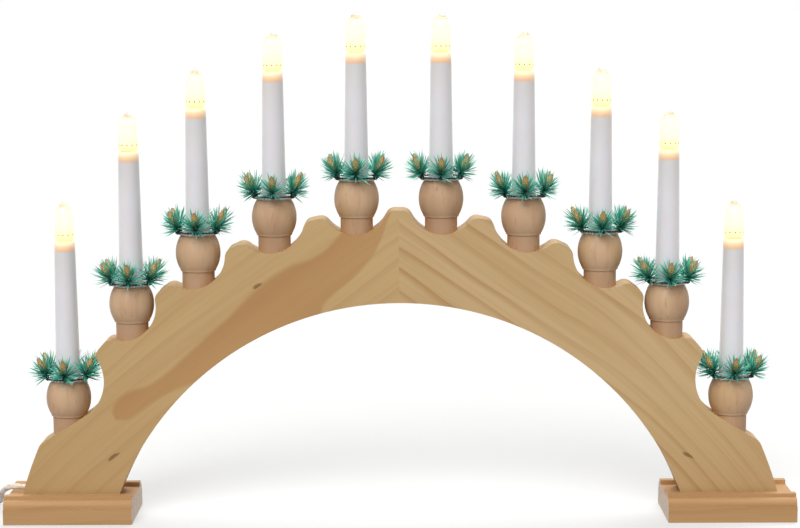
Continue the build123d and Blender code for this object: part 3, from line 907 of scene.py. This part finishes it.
def tube_mesh():
    """A candle tube, a little wider at its foot, with the bore for the lamp."""
    profile = [(0, -tube_length), (tube_base_radius, -tube_length)]
    profile += [
        (tube_top_radius + (tube_base_radius - tube_top_radius) * share, -tube_length * share)
        for share in tube_row_shares
    ]
    profile += [
        (tube_top_radius, -tube_lip),
        (tube_top_radius - 0.2 * tube_lip, -0.3 * tube_lip),
        (tube_top_radius - 0.6 * tube_lip, 0),
        (tube_bore_radius + 0.3 * tube_lip, 0),
        (tube_bore_radius, -0.5 * tube_lip),
        (tube_bore_radius, -tube_bore_depth),
        (0, -tube_bore_depth),
    ]
    return new_mesh("candle_tube", *lathe(profile))


def ogive(z, inset):
    """Radius of the lamp's glass at a height, less an inset."""
    rise = max(0.0, z - glass_straight_end)
    bow = glass_ogive_radius - inset
    return glass_radius - glass_ogive_radius + math.sqrt(max(bow**2 - rise**2, 0.0))


def lamp_mesh():
    """Blown glass with its tip drawn out and bent a little."""
    rise = glass_point_end - glass_straight_end
    turns = [math.pi / 2 * i / glass_point_steps for i in range(glass_point_steps + 1)]
    heights = [glass_straight_end + rise * math.sin(turn) for turn in turns]
    outer = [
        (glass_neck_radius, glass_neck_end),
        (glass_neck_radius, 0.0),
        (glass_neck_radius + glass_neck_round, glass_neck_round),
    ]
    outer += [(glass_radius - inset * mm, glass_shoulder_end + up * mm) for inset, up in glass_shoulder]
    outer += [(max(ogive(z, 0.0), glass_point_radius), z) for z in heights]
    outer += [
        (tip_root_radius, glass_point_end + tip_root_rise),
        (glass_tip_radius, glass_tip_end - glass_tip_round),
        (0, glass_tip_end),
    ]
    inner_top = glass_point_end - tip_solid_length
    inner_heights = [z for z in reversed(heights) if z < inner_top - inner_point_gap]
    inner = [(0, inner_top)]
    inner += [(max(ogive(z, glass_wall), inner_point_radius), z) for z in inner_heights]
    inner += [
        (glass_radius - glass_wall, glass_shoulder_end + 0.8 * mm),
        (glass_radius - glass_wall - 0.6 * mm, glass_shoulder_end + 0.2 * mm),
        (glass_neck_radius - glass_wall, 0.3 * mm),
        (glass_neck_radius - glass_wall, glass_neck_end),
        (glass_neck_radius, glass_neck_end),
    ]
    verts, faces = joined(lathe(outer), lathe(inner))
    for vert in verts:
        share = max(0.0, (vert.z - tip_curl_start) / (glass_tip_end - tip_curl_start))
        vert.x += tip_curl * share**2 * math.sin(tip_curl_turn * share)
    return new_mesh("lamp_glass", verts, faces)


def light_mesh():
    """The filament's light: a foot, a groove for the beads and the full body above it."""
    profile = [(radius * mm, z * mm) for radius, z in light_profile]
    return new_mesh("filament_light", *lathe(profile, light_sides))


def bead_mesh():
    """Little dark ends of the filament's supports in a ring."""
    forms = []
    for i in range(beads_per_lamp):
        turn = 2 * math.pi * i / beads_per_lamp - math.pi / 2
        foot = Vector((bead_ring_radius * math.cos(turn), bead_ring_radius * math.sin(turn), bead_height))
        profile = [(0, 1.6 * bead_size), (0.75 * bead_size, 0.9 * bead_size), (bead_size, 0)]
        profile += [(0.75 * bead_size, -0.9 * bead_size), (0, -1.6 * bead_size)]
        verts, faces = lathe(profile, bead_sides)
        forms.append(([vert + foot for vert in verts], faces))
    return new_mesh("support_beads", *joined(*forms))


def ring_mesh():
    """A clear ring with a shallow dish between its two rims."""
    profile = [
        (ring_hole_radius, ring_lift),
        (ring_hole_radius + ring_round, ring_thickness - ring_round),
        (ring_hole_radius + 0.6 * mm, ring_thickness),
        (ring_radius - 1.4 * mm, ring_thickness - 0.25 * mm),
        (ring_radius - 0.5 * mm, ring_thickness),
        (ring_radius - ring_lift, ring_thickness - ring_round),
        (ring_radius, 0.5 * ring_thickness),
        (ring_radius - 0.3 * mm, ring_lift),
        (ring_hole_radius, ring_lift),
    ]
    return new_mesh("drip_ring", *lathe(profile, ring_sides))


def sprig_place(corner):
    """Foot and axes of a sprig on its wreath."""
    turn = math.radians(sprig_turn_deg + 360 / sprigs_per_wreath * corner)
    rise = math.radians(sprig_rise_deg)
    out = Vector((math.cos(turn), math.sin(turn), 0))
    axis = out * math.cos(rise) + Vector((0, 0, math.sin(rise)))
    side = Vector((-out.y, out.x, 0))
    return out * sprig_radius + Vector((0, 0, sprig_height)), axis, side


def wire_mesh():
    """Two strands twisted into a ring, wound round under each sprig."""
    forms = []
    count = steps_per_twist * wire_twists
    coil_steps = coil_turns * steps_per_turn
    for strand in (0, math.pi):
        line = []
        for i in range(count):
            turn = 2 * math.pi * i / count
            lay = wire_twists * turn + strand
            radius = wire_ring_radius + strand_share * wire_strand_radius * math.cos(lay)
            height = wire_height + strand_share * wire_strand_radius * math.sin(lay)
            line.append(Vector((radius * math.cos(turn), radius * math.sin(turn), height)))
        forms.append(sweep(line, wire_strand_radius, strand_sides, True))
    for corner in range(sprigs_per_wreath):
        foot, axis, side = sprig_place(corner)
        middle = Vector((foot.x, foot.y, 0)).normalized() * wire_ring_radius + Vector((0, 0, wire_height))
        out = Vector((middle.x, middle.y, 0)).normalized()
        coil = []
        for i in range(coil_steps + 1):
            turn = 2 * math.pi * i / steps_per_turn
            wind = coil_radius * (math.cos(turn) * out + math.sin(turn) * Vector((0, 0, 1)))
            coil.append(middle + wind * coil_squeeze + side * (i / coil_steps - 0.5) * coil_length)
        forms.append(sweep(coil, wire_strand_radius, strand_sides))
        stem = [middle + Vector((0, 0, stem_radius)), foot, foot + axis * sprig_core_length]
        forms.append(sweep(stem, stem_radius, stem_sides))
    return new_mesh("wreath_wire", *joined(*forms))


def needle_mesh(seed, room):
    """Needles of one wreath: thin folded blades round each sprig, no further right than there is room."""
    chance = random.Random(seed)
    verts, faces, spots = [], [], []
    for corner in range(sprigs_per_wreath):
        foot, axis, side = sprig_place(corner)
        front = axis.cross(side)
        for number in range(needles_per_sprig):
            share = (number + 0.5) / needles_per_sprig
            stray_deg = chance.uniform(-needle_lean_stray_deg, needle_lean_stray_deg)
            lean = math.radians(needle_lean_deg + needle_lean_span_deg * share + stray_deg)
            turn = number * needle_turn + chance.uniform(-needle_turn_stray, needle_turn_stray)
            round_way = math.cos(turn) * side + math.sin(turn) * front
            way = (math.cos(lean) * axis + math.sin(lean) * round_way).normalized()
            root = foot + axis * (sprig_core_length * (1 - share)) + round_way * needle_root
            stray_mm = chance.uniform(*needle_length_stray_mm)
            length = (needle_length_mm - needle_length_fall_mm * share + stray_mm) * mm
            tip = root + way * length
            while not (
                tube_base_radius + needle_tube_gap < math.hypot(tip.x, tip.y) < needle_reach
                and abs(tip.y) < needle_depth
                and tip.x < room
            ):
                length -= needle_cut
                tip = root + way * length
            flat = way.cross(axis).normalized()
            tilt = chance.uniform(-needle_tilt_stray, needle_tilt_stray)
            flat = Matrix.Rotation(tilt, 3, way) @ flat
            ridge = flat.cross(way)
            curl = chance.uniform(*needle_curl_mm) * mm
            tint = chance.random()
            first = len(verts)
            for i in range(needle_steps + 1):
                along = i / needle_steps
                centre = root + way * (length * along) + axis * (curl * along**2)
                half = 0.5 * needle_width * (0.7 + 0.9 * along - 1.55 * along**3)
                fold = needle_fold * (1 - along)
                verts += [centre - flat * half, centre + ridge * fold, centre + flat * half]
                spots += [(tint, along)] * 3
            for i in range(needle_steps):
                low = first + 3 * i
                faces += [(low, low + 1, low + 4, low + 3), (low + 1, low + 2, low + 5, low + 4)]
    return with_map(f"needles_{seed}", verts, faces, spots, "needle")


def with_map(name, verts, faces, spots, layer):
    """Mesh with a pair of values kept for every point."""
    mesh = bpy.data.meshes.new(name)
    mesh.from_pydata([tuple(vert) for vert in verts], [], faces)
    values = mesh.uv_layers.new(name=layer).data
    for loop in mesh.loops:
        values[loop.index].uv = spots[loop.vertex_index]
    mesh.shade_smooth()
    return mesh


def cone_width(share):
    """Radius of a cone along its length."""
    if share < cone_belly_share:
        swell = math.sin(math.pi / 2 * share / cone_belly_share)
        return cone_foot_radius + (cone_radius - cone_foot_radius) * swell
    fall = (share - cone_belly_share) / (1 - cone_belly_share)
    return cone_radius * math.cos(math.pi / 2 * fall) ** cone_fall


def cone_mesh():
    """Fir cones of one wreath: overlapping scales on a core."""
    verts, faces, spots = [], [], []
    for corner in range(sprigs_per_wreath):
        foot, axis, side = sprig_place(corner)
        front = axis.cross(side)

        def at(share, turn, out):
            way = math.cos(turn) * side + math.sin(turn) * front
            return foot + axis * (cone_start + cone_length * share) + way * out

        first = len(verts)
        for i in range(core_rings + 1):
            share = i / core_rings
            height = core_length_share * share
            for k in range(core_sides):
                turn = 2 * math.pi * k / core_sides
                verts.append(at(height, turn, core_width_share * cone_width(height)))
                spots.append((share, core_tint))
        for i in range(core_rings):
            for k in range(core_sides):
                low, next_k = first + i * core_sides, (k + 1) % core_sides
                faces.append((low + k, low + next_k, low + core_sides + next_k, low + core_sides + k))
        for row in range(cone_rows):
            start = scale_start + scale_span * row / cone_rows
            for k in range(scales_per_row):
                middle = 2 * math.pi * (k + 0.5 * (row % 2)) / scales_per_row
                half = scale_overlap * math.pi / scales_per_row
                first = len(verts)
                for up, wide, lift in scale_shape:
                    share = min(start + scale_length * up, 1.0)
                    for across in (-1, 0, 1):
                        belly = 1.0 if across == 0 else scale_side_belly
                        out = cone_width(start) * (1 - up) + cone_width(share) * up
                        verts.append(at(share, middle + across * wide * half, lift * belly * out))
                        spots.append((share, up))
                for i in range(len(scale_shape) - 1):
                    low = first + 3 * i
                    faces += [(low, low + 1, low + 4, low + 3), (low + 1, low + 2, low + 5, low + 4)]
    return with_map("fir_cones", verts, faces, spots, "scale")


tube = tube_mesh()
lamp = lamp_mesh()
light = light_mesh()
beads = bead_mesh()
ring = ring_mesh()
wire = wire_mesh()
cones = cone_mesh()
chance = random.Random(curl_seed)
for number in range(1, 2 * candles_per_side + 1):
    tag = f"{number:02d}"
    low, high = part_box(f"lamp_glass_{tag}")
    x = (low[0] + high[0]) / 2
    tube_top = high[2] - lamp_rise
    cup_top = lowest_of("drip_rings", x, ring_radius)
    row = number - candles_per_side - 1 if number > candles_per_side else candles_per_side - number
    cup_place = (x, 0, cup_top)
    tube_place = (x, 0, tube_top)
    cup = cup_mesh(f"cup_{tag}", x, cup_top, row)
    needles = needle_mesh(number, cad_box[1][0] - x - needle_side_gap)
    piece(f"cup_{tag}", cup, turned_finish, ("candle_cups",), place=cup_place)
    piece(f"tube_{tag}", tube, tube_finish, ("candle_tubes",), place=tube_place)
    piece(f"ring_{tag}", ring, ring_finish, ("drip_rings",), place=cup_place)
    piece(f"wire_{tag}", wire, wire_finish, ("wreath_wires",), place=cup_place)
    piece(f"needles_{tag}", needles, needle_finish, ("wreath_sprigs",), place=cup_place)
    piece(f"cones_{tag}", cones, gilt_finish, ("wreath_cones",), place=cup_place)
    bulb = f"lamp_{tag}_bulb"
    curl = chance.uniform(0, 360)
    piece(f"glass_{tag}", lamp, glass_finish, (f"lamp_glass_{tag}",), bulb, tube_place, curl)
    piece(f"light_{tag}", light, glow_finish, (), bulb, tube_place)
    piece(f"beads_{tag}", beads, bead_finish, (), bulb, tube_place)
    soften(f"lamp_base_{tag}", cap_finish)


# Floor, world and lights
def white_where_seen(tree, share, output, plain, white):
    """Put a share of plain white over a surface or world for rays that show it, not for its light."""
    rays = add(tree, "ShaderNodeLightPath").outputs
    seen = calc(tree, "MAXIMUM", rays["Is Camera Ray"], rays["Is Glossy Ray"])
    seen = calc(tree, "MAXIMUM", seen, rays["Is Transmission Ray"])
    glow = add(tree, white, {"Color": (1, 1, 1, 1), "Strength": 1.0})
    shown = calc(tree, "MULTIPLY", seen, share)
    mixed = add(tree, "ShaderNodeMixShader", {0: shown, 1: plain.outputs[0], 2: glow.outputs[0]})
    tree.links.new(mixed.outputs[0], tree.nodes[output].inputs["Surface"])


floor = bpy.data.objects.new("floor", bpy.data.meshes.new("floor"))
floor_corners = [(x * floor_reach, y * floor_reach, floor_z) for x, y in ((-1, -1), (1, -1), (1, 1), (-1, 1))]
floor.data.from_pydata(floor_corners, [], [(0, 1, 2, 3)])
bpy.context.collection.objects.link(floor)
floor_paint, tree, shader = finish("floor_paint", Roughness=0.8, Specular_IOR_Level=0.1)
paper = noise(tree, place_of(tree), 6.0, 2.0)
paint(tree, shader, ramp(tree, paper, (0.3, "dadad9"), (0.7, "dddddc")))
white_where_seen(tree, floor_white_share, "Material Output", shader, "ShaderNodeEmission")
floor.data.materials.append(floor_paint)
floor.visible_diffuse = False

world = bpy.data.worlds.new("studio")
bpy.context.scene.world = world
world.use_nodes = True
soft = world.node_tree.nodes["Background"]
soft.inputs["Color"].default_value = (1, 1, 1, 1)
soft.inputs["Strength"].default_value = world_strength
white_where_seen(world.node_tree, 1.0, "World Output", soft, "ShaderNodeBackground")


def studio_sun(name, toward, softness_deg, strength):
    """Even soft light from a direction."""
    data = bpy.data.lights.new(name, "SUN")
    data.angle = math.radians(softness_deg)
    data.energy = strength
    obj = bpy.data.objects.new(name, data)
    obj.rotation_euler = (-Vector(toward)).to_track_quat("-Z", "Y").to_euler()
    bpy.context.collection.objects.link(obj)


studio_sun("front_light", (-0.25, -1.0, 0.95), 35.0, 2.5)
studio_sun("top_light", (0.15, 0.5, 1.0), 40.0, 1.9)
